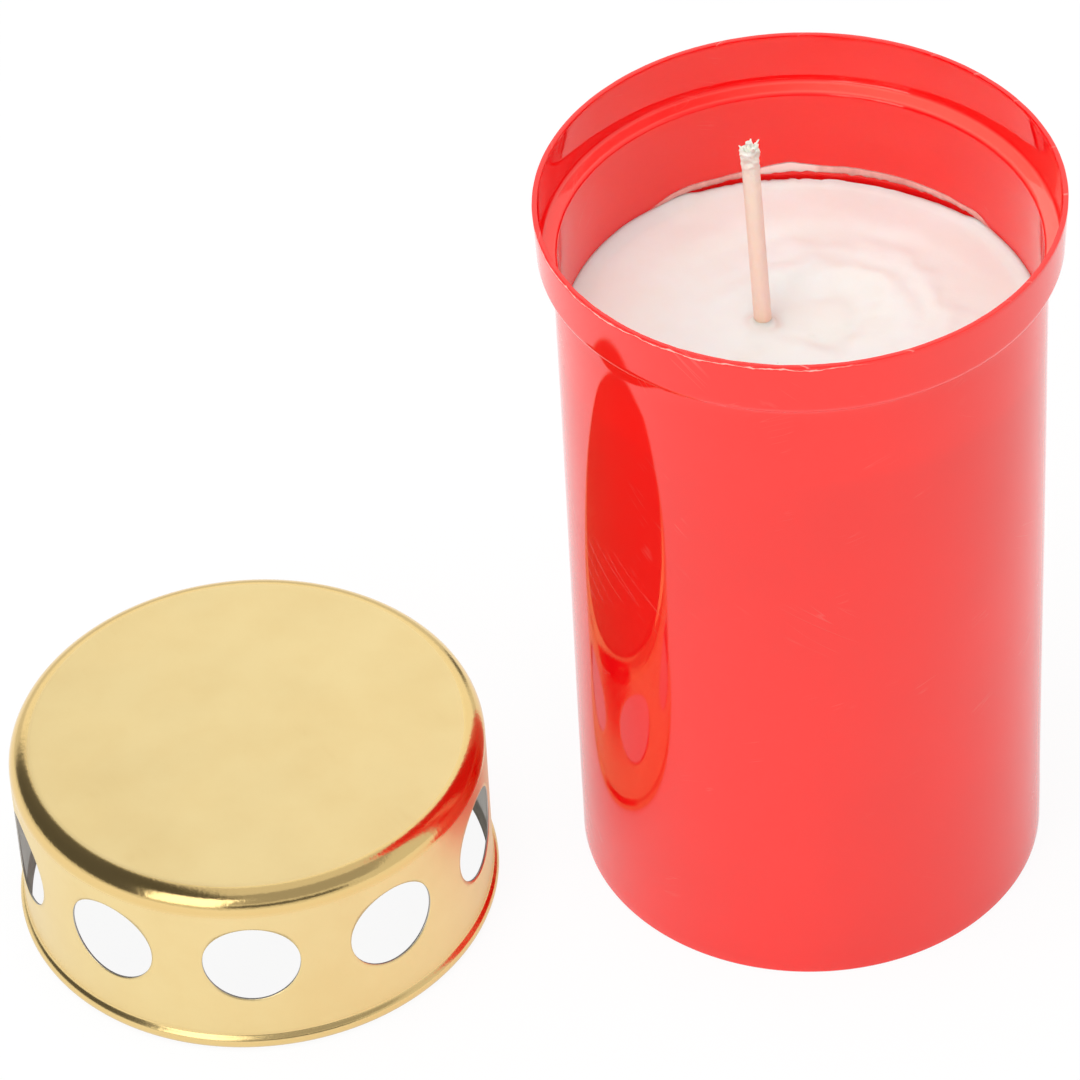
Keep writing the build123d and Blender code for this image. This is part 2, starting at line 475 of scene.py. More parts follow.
def makeCup():
    top, bore = size["top"], size["bore"]
    inner = bodyRadius(size["ledge"]) - cup["wall"]
    innerFoot = bodyRadius(cup["floor"]) - cup["wall"]
    outside = [(size["foot"], 0), (size["body"], size["stepFoot"])]
    inside = [(inner, size["ledge"] - cup["ledgeFall"]), (innerFoot, cup["floor"])]
    collar = [(size["collar"], size["collarFoot"]), (size["mouth"], top)]
    sleeve = [(bore, top), (bore - 0.1 * mm, size["ledge"])]
    recess, gate = cup["recess"], cup["gateRadius"]
    outline = [
        (0, recess), (gate, recess), (gate * 1.15, recess * 1.3), (size["foot"] * 0.5, recess),
        (size["foot"] - cup["footWidth"], recess), (size["foot"] - cup["footWidth"] * 0.75, 0),
        outside[0], *stretch(outside, cup["bodySpans"]), outside[1],
        collar[0], *stretch(collar, 9), collar[1], sleeve[0], *stretch(sleeve, 9), sleeve[1],
        inside[0], *stretch(inside, cup["bodySpans"] // 2), inside[1], (0, cup["floor"]),
    ]
    bm = bmesh.new()
    lathe(bm, outline, cup["steps"], closed=False)
    roundRing(bm, size["foot"], 0, cup["footFillet"], 5)
    roundRing(bm, size["body"], size["stepFoot"], cup["stepFillet"], 4)
    roundRing(bm, size["collar"], size["collarFoot"], cup["stepFillet"], 4)
    roundRing(bm, *sleeve[1], cup["ledgeFillet"], 4)
    roundRing(bm, *inside[0], cup["ledgeCrown"], 7)
    roundRing(bm, size["mouth"], top, cup["edgeFillet"], 2)
    roundRing(bm, bore, top, cup["edgeFillet"], 2)
    for vert in bm.verts:
        radius = vert.co.xy.length
        if radius < weld * 10:
            continue
        x, y = vert.co.x / radius, vert.co.y / radius
        if vert.co.z > top - 0.5 * mm:  # the trimmed edge dips and leans in unevenly
            share = smooth(vert.co.z, top - 0.5 * mm, top)
            torn = smooth(-x - y, 0.9, 1.2)
            dip = abs(rough(x * 11, y * 11, 0.3, 3)) * (0.35 + torn)
            lean = rough(x * 9, y * 9, 4.1, 2)
            vert.co.z -= share * cup["burr"] * dip
            vert.co.xy *= 1 - share * cup["burr"] * 0.35 * abs(lean) / radius
        elif 8 * mm < vert.co.z < size["stepFoot"] - 4 * mm:  # the thin wall isn't quite true
            sway = rough(x * 1.3, y * 1.3, vert.co.z * 22) * cup["sway"]
            vert.co.xy *= 1 + sway / radius
    return finishPiece("cup_shell", bm, [redPlastic], "lamp", ["cup"])


redPlastic = makeRedPlastic()
makeCup()


wax = {
    "shrinkage": 0.15 * mm,
    "wickHole": 1.14 * mm,  # a little inside the wick, which it clings to
    "steps": 384,
    "rings": 58,
    "gapFrom": 32.0,  # degrees round from +X, where the wax has come away from the wall
    "gapTo": 111.5,
    "gap": 0.56 * mm,
    "gapDepth": 3.2 * mm,
    "relief": 1.8,  # how strongly the ripples of its surface are made
    "roundOff": 0.55 * mm,  # of its edge along the gap
    "white": (0.775, 0.875, 0.84),
    "grit": (0.36, 0.28, 0.22),
    "soaked": (0.90, 0.80, 0.62),
    "filmFrom": 25.0,  # degrees round, of the thin skin left on the wall
    "filmTo": 124.0,
    "filmPink": (0.98, 0.54, 0.48),
    "filmWhite": (0.96, 0.88, 0.83),
    "ior": 1.44,
    "handled": {"Roughness": 0.42, "Spread": 0.22, "Scale": 160.0, "Speck Scale": 3000.0},
    "grain": {"Scale": 2400.0, "Depth": 0.012 * mm, "Wave Scale": 330.0, "Wave Depth": 0.06 * mm},
    "glow": 0.35,
    "glowReach": (1.0, 0.75, 0.6),
    "glowDepth": 3.0 * mm,
}
sustainer = {
    "glueRadius": 4.0 * mm,
    "discRadius": 6.5 * mm,
    "neckRadius": 1.52 * mm,
    "discThickness": 0.25 * mm,
    "room": 0.02 * mm,  # that the wax leaves round it and the glue
}


def bottomCentre(node):
    low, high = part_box(node)
    return Vector(((low.x + high.x) / 2, (low.y + high.y) / 2, low.z))


wickFoot = bottomCentre("wick_sustainer")
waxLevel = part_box("wax")[1].z


# Height of the set surface over the level, at a point in millimetres from the cup's axis.
def waxRelief(x, y):
    foot = wickFoot / mm
    fromAxis = math.hypot(x, y)
    fromWick = math.hypot(x - foot.x, y - foot.y)
    height = 0.10 * rough(x / 9, y / 9, 2.0, 2)
    # A long low swell right of the wick, with two hollows that the last of the wax ran into
    turn = math.atan2(y + 2, x - 1)
    swirl = math.hypot(x - 3, (y - 2) * 1.15) + 2.2 * rough(x / 6.5, y / 6.5, 4.0, 2)
    height += 0.34 * math.exp(-((swirl - 10.5) / 2.6) ** 2) * (0.55 + 0.45 * math.cos(turn - 1.0))
    height -= 0.30 * math.exp(-((swirl - 5.5) / 2.4) ** 2) * (0.5 + 0.5 * math.cos(turn + 0.6))
    height += 0.22 * math.exp(-((swirl - 15.5) / 2.0) ** 2) * (0.5 + 0.5 * math.cos(turn + 0.35))
    height -= 0.16 * math.exp(-((swirl - 19.5) / 2.6) ** 2) * (0.5 + 0.5 * math.cos(turn - 1.6))
    height += 0.10 * rough(x / 3.1, y / 3.1, 7.0) * math.exp(-((swirl - 9) / 7) ** 2)
    height -= 0.22 * math.exp(-(math.hypot(x - foot.x - 2.9, y - foot.y - 0.6) / 2.0) ** 2)
    height += 0.75 * math.exp(-max(fromWick - 1.2, 0) / 0.55)  # it climbs the wick
    height += 0.45 * smooth(fromAxis, 29.6, 31.9) - 0.25 * smooth(fromAxis, 22, 29)  # and the wall
    return clamp(height * wax["relief"], -1.6, 1.3) * mm


# How far open the gap at the wall is, 0 to 1, at this many degrees round.
def gapShare(turn):
    share = clamp((turn - wax["gapFrom"]) / (wax["gapTo"] - wax["gapFrom"]))
    return math.sin(math.pi * share) ** 0.45 * smooth(share, 0, 0.06) * smooth(1 - share, 0, 0.06)


def makeWaxMaterial():
    material, nodes, shader = newMaterial("waxWhite")
    place = nodes.place()
    cloud = nodes.ramp(nodes.noise(place, 95.0, 4.0, 0.55), 0.3, 0.7)
    warm = tuple(c * f for c, f in zip(wax["white"], (0.985, 0.955, 0.93)))
    base = nodes.mix(cloud, wax["white"], warm)
    few = nodes.ramp(nodes.noise(place, 70.0, 0.0), 0.62, 0.66)
    grit = nodes.times(nodes.dots(place, 240.0, 0.015, 0.035), few, 0.55)
    base = nodes.mix(grit, base, wax["grit"])
    # Warmer where it is soaked up by the wick
    reach = nodes.add("VectorMath", operation="LENGTH")
    nodes.join(nodes.place((wickFoot.x, wickFoot.y, waxLevel)), reach.inputs[0])
    base = nodes.mix(nodes.ramp(reach.outputs["Value"], 1.1 * mm, 3 * mm, 0.4, 0.0), base, wax["soaked"])
    nodes.fillAll(shader, {
        "Base Color": base,
        "Roughness": nodes.group(handledGloss, Place=place, **wax["handled"])["Roughness"],
        "Normal": nodes.group(fineGrain, Place=place, **wax["grain"])["Normal"],
        "IOR": wax["ior"], **glowOf(wax)})
    return material


def makeWax():
    level = waxLevel
    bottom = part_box("wax")[0].z
    foot = wickFoot
    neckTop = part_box("wick_sustainer")[1].z
    discTop = foot.z + sustainer["discThickness"]
    edge = bodyRadius(level) - cup["wall"] - wax["shrinkage"]
    lower = bodyRadius(bottom) - cup["wall"] - wax["shrinkage"]
    room = sustainer["room"]
    hole, disc = wax["wickHole"], sustainer["discRadius"] + room
    glue, neck = sustainer["glueRadius"] + room, sustainer["neckRadius"] + room
    rings = wax["rings"]
    top = [(hole + (edge - hole) * (i / rings) ** 0.9, level) for i in range(rings + 1)]
    side = [(edge, level), (edge, level - wax["gapDepth"])]
    outline = top + stretch(side, 10) + [
        side[1], (lower, bottom), (glue, bottom), (glue, foot.z), (disc, foot.z), (disc, discTop),
        (neck, discTop), (neck, neckTop), (hole, neckTop),
    ]
    bm = bmesh.new()
    lathe(bm, outline, wax["steps"])
    for vert in bm.verts:
        radius = vert.co.xy.length
        turn = math.degrees(math.atan2(vert.co.y, vert.co.x))
        x, y = vert.co.x / radius, vert.co.y / radius
        depth = (level - vert.co.z) / wax["gapDepth"]
        if depth < 1:
            # ragged at the back, where a crumb nearly bridges it; elsewhere it reaches the wall
            share = gapShare(turn)
            ragged = smooth(turn, 66, 74) * (1 - smooth(turn, 96, 104))
            bite = 0.35 * abs(rough(x * 30, y * 30, 1.0, 3)) * ragged
            bite += 0.09 * rough(x * 22, y * 22, 5.0, 2)
            away = share * wax["gap"] * (1 - 0.75 * ragged * (0.5 + rough(x * 9, y * 9, 3)))
            away = max(away + share * bite * mm, 0)
            crumb = 0.8 * math.exp(-((turn - 86) / 3) ** 2)
            away *= 1 - crumb * clamp(0.6 + rough(x * 40, y * 40, 2, 2))
            away -= (1 - share) * (wax["shrinkage"] - 0.02 * mm)
            reach = smooth(radius, edge - 4 * mm, edge) * (1 - 0.6 * clamp(depth))
            vert.co.xy *= 1 - away * reach / radius
        if vert.co.z > level - weld * 10:  # the top surface
            shift = foot.xy * clamp((edge - radius) / (edge - 7 * mm))
            vert.co.xy += shift
            vert.co.z += waxRelief(vert.co.x / mm, vert.co.y / mm)
            vert.co.z -= wax["roundOff"] * (smooth(radius, edge - 1.2 * mm, edge) * gapShare(turn))
        else:
            vert.co.xy += foot.xy * clamp((edge - radius) / (edge - 7 * mm))
    return finishPiece("wax_fill", bm, [waxWhite], "lamp", ["wax"])


def makeSkinMaterial():
    material, nodes, shader = newMaterial("waxSkin")
    along, up, _ = nodes.split(nodes.add("UVMap", uv_map="skin").outputs["UV"])
    cloud = nodes.noise(nodes.place(), 420.0, 4.0, 0.6)
    thick = nodes.fall(nodes.apart(along, 0.60), 0.02, 0.13)
    whole = nodes.plus(nodes.times(cloud, 0.5), nodes.times(thick, 0.45))
    ends = nodes.fall(nodes.apart(along, 0.5), 0.40, 0.5)
    body = nodes.plus(nodes.times(nodes.plus(cloud, 0.25), 0.95), nodes.times(thick, 0.4))
    nodes.fillAll(shader, {
        "Base Color": nodes.mix(nodes.ramp(whole, 0.1, 0.9), wax["filmPink"], wax["filmWhite"]),
        "Alpha": nodes.times(nodes.fall(up, 0.72, 1.0), ends, body, limit=True),
        "Roughness": nodes.ramp(cloud, 0.3, 0.7, 0.30, 0.45),
        "Normal": nodes.bump(cloud, 0.12 * mm), "IOR": wax["ior"]})
    return material


# The thin skin left on the wall where the wax stood before it shrank.
def makeWaxFilm():
    level = waxLevel
    columns, rows = 200, 10
    start, end = wax["filmFrom"], wax["filmTo"]
    bm = bmesh.new()
    bmesh.ops.create_grid(bm, x_segments=columns, y_segments=rows, size=0.5, calc_uvs=False)
    chart = bm.loops.layers.uv.new("skin")
    for face in bm.faces:
        for corner in face.loops:
            corner[chart].uv = corner.vert.co.xy + Vector((0.5, 0.5))
    for vert in bm.verts:
        degrees = start + (end - start) * (vert.co.x + 0.5)
        turn = math.radians(degrees)
        x, y = math.cos(turn), math.sin(turn)
        fade = smooth(degrees, start, start + 9) * (1 - smooth(degrees, end - 12, end))
        hump = 0.75 * math.exp(-((degrees - 84) / 8) ** 2) + 0.25 * math.exp(-((degrees - 60) / 12) ** 2)
        upper = level + (0.35 + fade * (1.25 + hump + 0.25 * rough(x * 7, y * 7, 2, 2))) * mm
        lower = level + (-0.5 + fade * (0.95 + 0.3 * hump + 0.26 * rough(x * 26, y * 26, 8, 3))) * mm
        height = lower + (upper - lower) * (vert.co.y + 0.5)
        middle = 1 - abs(vert.co.y) * 2
        radius = bodyRadius(height) - cup["wall"] - (0.03 + 0.10 * smooth(middle, 0, 0.6)) * mm
        vert.co = Vector((radius * x, radius * y, height))
    bmesh.ops.recalc_face_normals(bm, faces=bm.faces)
    bmesh.ops.solidify(bm, geom=bm.faces[:], thickness=-0.02 * mm)
    return finishPiece("wax_film", bm, [waxSkin], "lamp")


waxWhite = makeWaxMaterial()
waxSkin = makeSkinMaterial()
makeWax()
makeWaxFilm()


wick = {
    "radius": 1.2 * mm,
    "lean": 8.7,  # degrees from upright above the wax
    "heading": 100.0,  # degrees from +X
    "bend": 10.0 * mm,
    "stand": 26.6 * mm,
    "sides": 40,
    "buriedRings": 30,
    "shownRings": 190,
    "cotton": (0.91, 0.91, 0.75),
    "frayed": 0.85 * mm,  # length of the loose ends over the cut
    # pink painted on the wick's +X side: painted red light bounced from the cup wall
    "paintedRedBounce": (0.94, 0.90, 0.78),
    "soaked": (0.95, 0.74, 0.50),
    "bare": (0.95, 0.95, 0.83),
    "glow": 0.25,
    "glowReach": (1.0, 0.6, 0.4),
    "glowDepth": 1.2 * mm,
    "tufts": 17,
    "tuftSeed": 7,
    "tuftSides": 8,
    "tuftRings": 9,
}


# The wick's place and direction this far above the wax, along its middle line.
def wickFrame(distance):
    foot, level = wickFoot, waxLevel
    heading = math.radians(wick["heading"])
    ahead = Vector((math.cos(heading), math.sin(heading), 0))
    start = Vector((foot.x, foot.y, level))
    lean = math.radians(wick["lean"])
    curve = lean * wick["bend"]
    if distance <= 0:
        return start + Vector((0, 0, distance)), Vector((0, 0, 1))
    angle = min(distance / wick["bend"], lean)
    place = start + ahead * wick["bend"] * (1 - math.cos(angle))
    place = place + Vector((0, 0, wick["bend"] * math.sin(angle)))
    way = ahead * math.sin(angle) + Vector((0, 0, math.cos(angle)))
    return place + way * max(distance - curve, 0), way


def wickLength():
    return math.radians(wick["lean"]) * wick["bend"] + wick["stand"] - wick["frayed"]


# Extrudes edges, and gives the new edges along them and the new points.
def extrudeEdges(bm, edges):
    grown = bmesh.ops.extrude_edge_only(bm, edges=edges)["geom"]
    fresh = {g for g in grown if isinstance(g, bmesh.types.BMVert)}
    along = [g for g in grown if isinstance(g, bmesh.types.BMEdge) and set(g.verts) <= fresh]
    return along, fresh


# The points that a ring's points were extruded to, in the same order.
def followRing(order, fresh):
    return [next(e.other_vert(v) for e in v.link_edges if e.other_vert(v) in fresh) for v in order]


def edgesOf(bm, ring):
    return [e for e in bm.edges if e.verts[0] in ring and e.verts[1] in ring]


# Pulls a round section along a line. shape gives each point's radius share, by turn and ring.
def pullTube(bm, sides, radius, rings, frameAt, shape):
    made = bmesh.ops.create_circle(bm, cap_ends=True, segments=sides, radius=radius)
    verts = made["verts"]
    edges = [e for e in bm.edges if e.is_boundary and e.verts[0] in verts]
    section = [v.co.copy() for v in verts]
    order = verts

    def place(ringVerts, index):
        middle, way = frameAt(index)
        turn = way.to_track_quat("Z", "Y")
        for i, vert in enumerate(ringVerts):
            share = shape(math.tau * i / sides, index)
            vert.co = middle + turn @ (section[i] * share)

    place(order, 0)
    for index in range(1, rings):
        edges, fresh = extrudeEdges(bm, edges)
        order = followRing(order, fresh)
        place(order, index)
    return order


def makeCotton():
    material, nodes, shader = newMaterial("waxedCotton")
    place = nodes.place((wickFoot.x, wickFoot.y, waxLevel))
    x, _, height = nodes.split(place)
    fibres = nodes.noise(nodes.mapping(place, Scale=(1.0, 1.0, 0.07)), 2600.0, 3.0, 0.6)
    # Pinker towards +X: painted red light bounced from the cup wall
    side = nodes.ramp(nodes.plus(x, nodes.times(fibres, 0.6 * mm)), -0.6 * mm, 1 * mm)
    base = nodes.mix(side, wick["cotton"], wick["paintedRedBounce"])
    dry = nodes.ramp(nodes.noise(place, 700.0, 3.0, 0.6), 0.45, 0.8, 0.0, 0.5)
    base = nodes.mix(dry, base, wick["bare"])
    base = nodes.mix(nodes.ramp(height, 0.0, 4.5 * mm, 0.65, 0.0), base, wick["soaked"])
    uneven = nodes.times(nodes.noise(place, 900.0), 3 * mm)
    tip = nodes.ramp(nodes.plus(height, uneven), 22.2 * mm, 26.5 * mm)
    crumbs = nodes.times(nodes.noise(place, 1900.0, 4.0, 0.7), tip)
    nodes.fillAll(shader, {
        "Base Color": nodes.mix(tip, base, wick["bare"]),
        "Roughness": nodes.ramp(tip, 0.0, 1.0, 0.42, 0.8),
        "Normal": nodes.bump(crumbs, 0.25 * mm, nodes.bump(fibres, 0.06 * mm)),
        "IOR": wax["ior"], **glowOf(wick)})
    return material


def makeWick():
    level = waxLevel
    buried = level - wickFoot.z
    shown = wickLength()
    low = wick["buriedRings"]
    total = low + wick["shownRings"]

    def distance(index):
        if index < low:
            return -buried + buried * index / low
        return shown * (index - low) / (total - 1 - low)

    def shape(turn, index):
        along = distance(index) / mm
        twist = turn + along * 0.55
        plait = 0.5 + 0.5 * math.cos(3 * twist) * math.cos(3 * (turn - along * 0.55))
        share = 0.955 + 0.035 * plait
        share += 0.012 * rough(math.cos(turn) * 1.5, math.sin(turn) * 1.5, along * 0.7, 2)
        share += 0.03 * math.cos(2 * (turn - 0.6))  # a little flattened
        if index < low:
            return 0.98
        tip = smooth(along, shown / mm - 3.6, shown / mm - 1.2)
        share += tip * (0.05 + 0.24 * rough(math.cos(turn) * 3, math.sin(turn) * 3, along * 1.9, 3))
        share -= 0.10 * smooth(along, shown / mm - 0.5, shown / mm)
        return share

    bm = bmesh.new()
    rim = pullTube(bm, wick["sides"], wick["radius"], total, lambda i: wickFrame(distance(i)), shape)
    # The cut end: a rough crown of cotton with wax in it
    middle, way = wickFrame(shown)
    for depth, scale, jitter in ((0.15, 0.70, 0.55), (0.1, 0.38, 0.6)):
        fresh = extrudeEdges(bm, edgesOf(bm, rim))[1]
        rim = followRing(rim, fresh)
        for i, vert in enumerate(rim):
            out = vert.co - middle
            out -= way * out.dot(way)
            turn = math.tau * i / wick["sides"]
            drop = jitter * rough(math.cos(turn) * 2, math.sin(turn) * 2, depth * 9, 2)
            rise = way * (depth * 0.5 + drop - 0.25) * mm
            vert.co = middle + out.normalized() * wick["radius"] * scale + rise
    bmesh.ops.contextual_create(bm, geom=edgesOf(bm, rim))
    addTufts(bm, middle, way)
    for vert in bm.verts:
        vert.co.z = min(vert.co.z, cadBox[1].z - 0.02 * mm)
    return finishPiece("wick_waxed", bm, [waxedCotton], "lamp", ["wick_braid"])


# Short loose yarn ends round the cut tip, bent outwards.
def addTufts(bm, middle, way):
    dice = random.Random(wick["tuftSeed"])
    across = way.cross(Vector((0, 1, 0))).normalized()
    upward = across.cross(way).normalized()
    count, rings = wick["tufts"], wick["tuftRings"]
    for i in range(count):
        turn = math.tau * i / count + dice.uniform(-0.25, 0.25)
        out = across * math.cos(turn) + upward * math.sin(turn)
        start = middle + out * wick["radius"] * dice.uniform(0.15, 0.86)
        start = start - way * dice.uniform(0.5, 1.1) * mm
        reach = dice.uniform(0.8, 1.75) * mm
        flare = dice.choice((0.05, 0.12, 0.25, 0.5, 0.8))
        thick = dice.uniform(0.20, 0.36) * mm

        def frameAt(index, start=start, out=out, reach=reach, flare=flare):
            t = index / (rings - 1)
            spot = start + way * reach * t + out * reach * flare * t * t
            return spot, (way + out * 2 * flare * t).normalized()

        def shape(angle, index, seed=i):
            t = index / (rings - 1)
            uneven = rough(math.cos(angle) + seed, math.sin(angle), t * 3, 2)
            return (1 - 0.75 * t * t) * (1 + 0.25 * uneven)

        end = pullTube(bm, wick["tuftSides"], thick, rings, frameAt, shape)
        bmesh.ops.contextual_create(bm, geom=edgesOf(bm, end))


waxedCotton = makeCotton()
makeWick()


lid = {
    "sheet": 0.28 * mm,
    "corner": 3.05 * mm,
    "beadWidth": 0.73 * mm,
    "roll": 1.5 * mm,
    "shoulder": 1.0 * mm,
    "crease": 0.6 * mm,
    "vents": 10,
    "ventRadius": 6.75 * mm,
    "ventDepth": 12.35 * mm,
    "ventTurn": 12.5,  # degrees from +X
    "ventSides": 88,
    "ventRings": 7,
    "gold": (0.88, 0.70, 0.345),
    # deeper gold: random tone, and painted shade on the polished parts
    "goldDeep": (0.78, 0.54, 0.205),
    "bareMetal": (0.60, 0.575, 0.53),
    "dip": 0.06 * mm,  # of the thin top
    "scratches": {"Turn": 1.1, "Scale": 700.0, "Width": 0.012, "Amount": 0.42, "Patch Scale": 80.0},
    "handled": {"Roughness": 0.36, "Spread": 0.10, "Scale": 110.0, "Speck Scale": 1900.0},
    "bareHandled": {"Roughness": 0.42, "Spread": 0.12, "Scale": 140.0, "Speck Scale": 2200.0},
    "pullDepth": 0.006 * mm,  # of the marks of drawing on the skirt
    "grainDepth": 0.0035 * mm,
    "peelDepth": 0.016 * mm,  # of the pebbled corner
    "slackDepth": 0.05 * mm,  # of the sheet's slow waves
    "lineDepth": 0.008 * mm,  # of the bare inside
}


def lidCentre():
    low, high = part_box("lid")
    return Vector(((low.x + high.x) / 2, (low.y + high.y) / 2, 0))


def makeGold():
    material, nodes, shader = newMaterial("goldLacquer")
    centre = lidCentre()
    place = nodes.place(centre)
    wall, radius = nodes.group(unrolledWall, Place=place)
    z = nodes.split(place)["Z"]
    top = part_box("lid")[1].z
    skirt = (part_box("lid")[1].x - centre.x) - lid["beadWidth"]
    # The die polished the sheet where it was drawn: the top corner, the crease and the bead
    flat, foot = skirt - lid["corner"], top - lid["corner"]
    offTop = nodes.ramp(radius, flat - 0.2 * mm, flat + 0.7 * mm)
    corner = nodes.times(offTop, nodes.ramp(z, foot - 0.8 * mm, foot + 0.5 * mm))
    bead = nodes.fall(z, 2.2 * mm, 3.4 * mm)
    polished = nodes.math("MAXIMUM", corner, nodes.times(bead, 0.7))
    cloud = nodes.ramp(nodes.noise(place, 85.0, 4.0, 0.6), 0.3, 0.75, 0.0, 0.22)
    base = nodes.mix(cloud, lid["gold"], lid["goldDeep"])
    scratch = nodes.group(hairScratches, Place=place, **lid["scratches"])["Mask"]
    gloss = nodes.group(handledGloss, Place=place, **lid["handled"])["Roughness"]
    satin = nodes.plus(gloss, nodes.times(scratch, 0.08))
    # Fine rolled grain on the flats, a pebbled orange peel on the drawn corner
    streaks = nodes.noise(nodes.mapping(wall, Scale=(1.0, 0.05, 1.0)), 2600.0, 3.0, 0.6)
    pulled = nodes.bump(nodes.times(streaks, offTop), lid["pullDepth"])
    grain = nodes.noise(nodes.mapping(place, Scale=(0.35, 1.0, 1.0)), 4200.0, 3.0, 0.6)
    rolled = nodes.bump(grain, lid["grainDepth"], pulled)
    peel = nodes.times(nodes.noise(place, 1500.0, 3.0, 0.6), polished)
    pebble = nodes.bump(peel, lid["peelDepth"], rolled)
    nodes.fillAll(shader, {
        # The polished corner and bead are painted a deeper gold: painted shade that browns their dark
        # reflections
        "Base Color": nodes.mix(nodes.times(polished, 0.7), base, lid["goldDeep"]),
        "Roughness": nodes.minus(satin, nodes.times(polished, 0.21), limit=True),
        "Normal": nodes.bump(nodes.noise(place, 55.0), lid["slackDepth"], pebble),
        "Metallic": 1.0})
    return material


def makeBareMetal():
    material, nodes, shader = newMaterial("bareMetal")
    place = nodes.place(lidCentre())
    wall = nodes.group(unrolledWall, Place=place)["Wall"]
    lines = nodes.noise(nodes.mapping(wall, Scale=(1.0, 0.08, 1.0)), 1800.0, 3.0, 0.6)
    darker = tuple(c * 0.82 for c in lid["bareMetal"])
    nodes.fillAll(shader, {
        "Base Color": nodes.mix(nodes.ramp(lines, 0.3, 0.7, 0.0, 0.5), lid["bareMetal"], darker),
        "Roughness": nodes.group(handledGloss, Place=place, **lid["bareHandled"])["Roughness"],
        "Normal": nodes.bump(lines, lid["lineDepth"]), "Metallic": 1.0})
    return material


def makeLid():
    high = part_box("lid")[1]
    centre = lidCentre()
    top = high.z
    skirt = (high.x - centre.x) - lid["beadWidth"]
    turn = math.acos(1 - lid["beadWidth"] / (lid["crease"] + lid["shoulder"]))
    creaseTop = lid["roll"] + math.sin(turn) * (lid["crease"] + lid["shoulder"])
    cornerFoot = top - lid["corner"]
    ventHeight = top - lid["ventDepth"]
    width = math.tau * skirt / lid["vents"]
    sides = lid["ventSides"]

    # One vent in a flat patch of skirt: the hole's ring, pushed out to the patch's edge
    bm = bmesh.new()
    made = bmesh.ops.create_circle(bm, cap_ends=False, segments=sides, radius=lid["ventRadius"])
    ring = made["verts"]
    quarter = sides // 4
    for i, vert in enumerate(ring):  # a round hole is a little wider when it is unrolled
        vert.co.x = skirt * math.asin(vert.co.x / skirt)
    holeAt = [v.co.copy() for v in ring]
    halfX, lowY, highY = width / 2, creaseTop - ventHeight, cornerFoot - ventHeight
    corners = [Vector((halfX, lowY, 0)), Vector((halfX, highY, 0)), Vector((-halfX, highY, 0)),
               Vector((-halfX, lowY, 0))]
    edgeAt = []
    for i in range(sides):
        # counted from the middle of the right-hand edge, as the hole's points are
        angle = math.tau * i / sides
        position = ((i + quarter / 2) % sides) / quarter
        side, share = int(position) % 4, position % 1
        edgeAt.append(corners[side].lerp(corners[(side + 1) % 4], share))
    startAngle = math.atan2(holeAt[0].y, holeAt[0].x)
    offset = round(startAngle / math.tau * sides)
    order = ring
    edges = bm.edges[:]
    for step in range(1, lid["ventRings"] + 1):
        edges, fresh = extrudeEdges(bm, edges)
        order = followRing(order, fresh)
        share = (step / lid["ventRings"]) ** 1.25
        for i, vert in enumerate(order):
            vert.co = holeAt[i].lerp(edgeAt[(i + offset) % sides], share)
    for vert in bm.verts:
        angle = vert.co.x / skirt
        vert.co = Vector((skirt * math.cos(angle), skirt * math.sin(angle), ventHeight + vert.co.y))
    patch = bm.verts[:] + bm.edges[:] + bm.faces[:]
    step = math.tau / lid["vents"]
    for i in range(1, lid["vents"]):
        copy = bmesh.ops.duplicate(bm, geom=patch)["geom"]
        verts = [g for g in copy if isinstance(g, bmesh.types.BMVert)]
        bmesh.ops.rotate(bm, verts=verts, cent=(0, 0, 0), matrix=Matrix.Rotation(step * i, 3, "Z"))
    bmesh.ops.remove_doubles(bm, verts=bm.verts, dist=0.002 * mm)

    def grow(edges, targets):
        for radius, height in targets:
            edges, fresh = extrudeEdges(bm, edges)
            for vert in fresh:
                vert.co.xy = vert.co.xy.normalized() * radius
                vert.co.z = height
        return edges

    def boundaryAt(height):
        def level(edge):
            return all(abs(v.co.z - height) < weld * 10 for v in edge.verts)
        return [e for e in bm.edges if e.is_boundary and level(e)]

    cornerMiddle = (skirt - lid["corner"], cornerFoot)
    flat = [(cornerMiddle[0] * share, top) for share in (0.985, 0.9, 0.75, 0.55, 0.35, 0.15)]
    last = grow(boundaryAt(cornerFoot), arc(cornerMiddle, lid["corner"], 0, 90, 9) + flat)
    bmesh.ops.pointmerge(bm, verts=list({v for e in last for v in e.verts}), merge_co=(0, 0, top))
    degrees = math.degrees(turn)
    creaseMiddle = (skirt + lid["crease"], creaseTop)
    shoulderMiddle = (skirt + lid["beadWidth"] - lid["shoulder"], lid["roll"])
    rollMiddle = (skirt + lid["beadWidth"] - lid["roll"], lid["roll"])
    grow(boundaryAt(creaseTop),
         arc(creaseMiddle, lid["crease"], 180, 180 + degrees, 4)
         + arc(shoulderMiddle, lid["shoulder"], degrees, 0, 4)
         + arc(rollMiddle, lid["roll"], 0, -90, 7))
    bmesh.ops.rotate(bm, verts=bm.verts, cent=(0, 0, 0),
                     matrix=Matrix.Rotation(math.radians(lid["ventTurn"]), 3, "Z"))
    for vert in bm.verts:  # the thin top isn't dead flat
        radius = vert.co.xy.length
        if vert.co.z > top - weld * 10 and radius < cornerMiddle[0] * 0.95:
            vert.co.z -= lid["dip"] * (0.5 + 0.5 * rough(vert.co.x * 40, vert.co.y * 40, 1.0))
    bmesh.ops.translate(bm, verts=bm.verts, vec=centre)
    bmesh.ops.recalc_face_normals(bm, faces=bm.faces)
    piece = finishPiece("lid_shell", bm, [goldLacquer, bareMetal], "lid",
                        ["lid"], recalculate=False)
    wall = piece.modifiers.new("sheet", "SOLIDIFY")
    wall.thickness = lid["sheet"]
    wall.offset = -1
    wall.use_even_offset = True
    wall.material_offset = 1
    wall.material_offset_rim = 1
    return piece


goldLacquer = makeGold()
bareMetal = makeBareMetal()
makeLid()


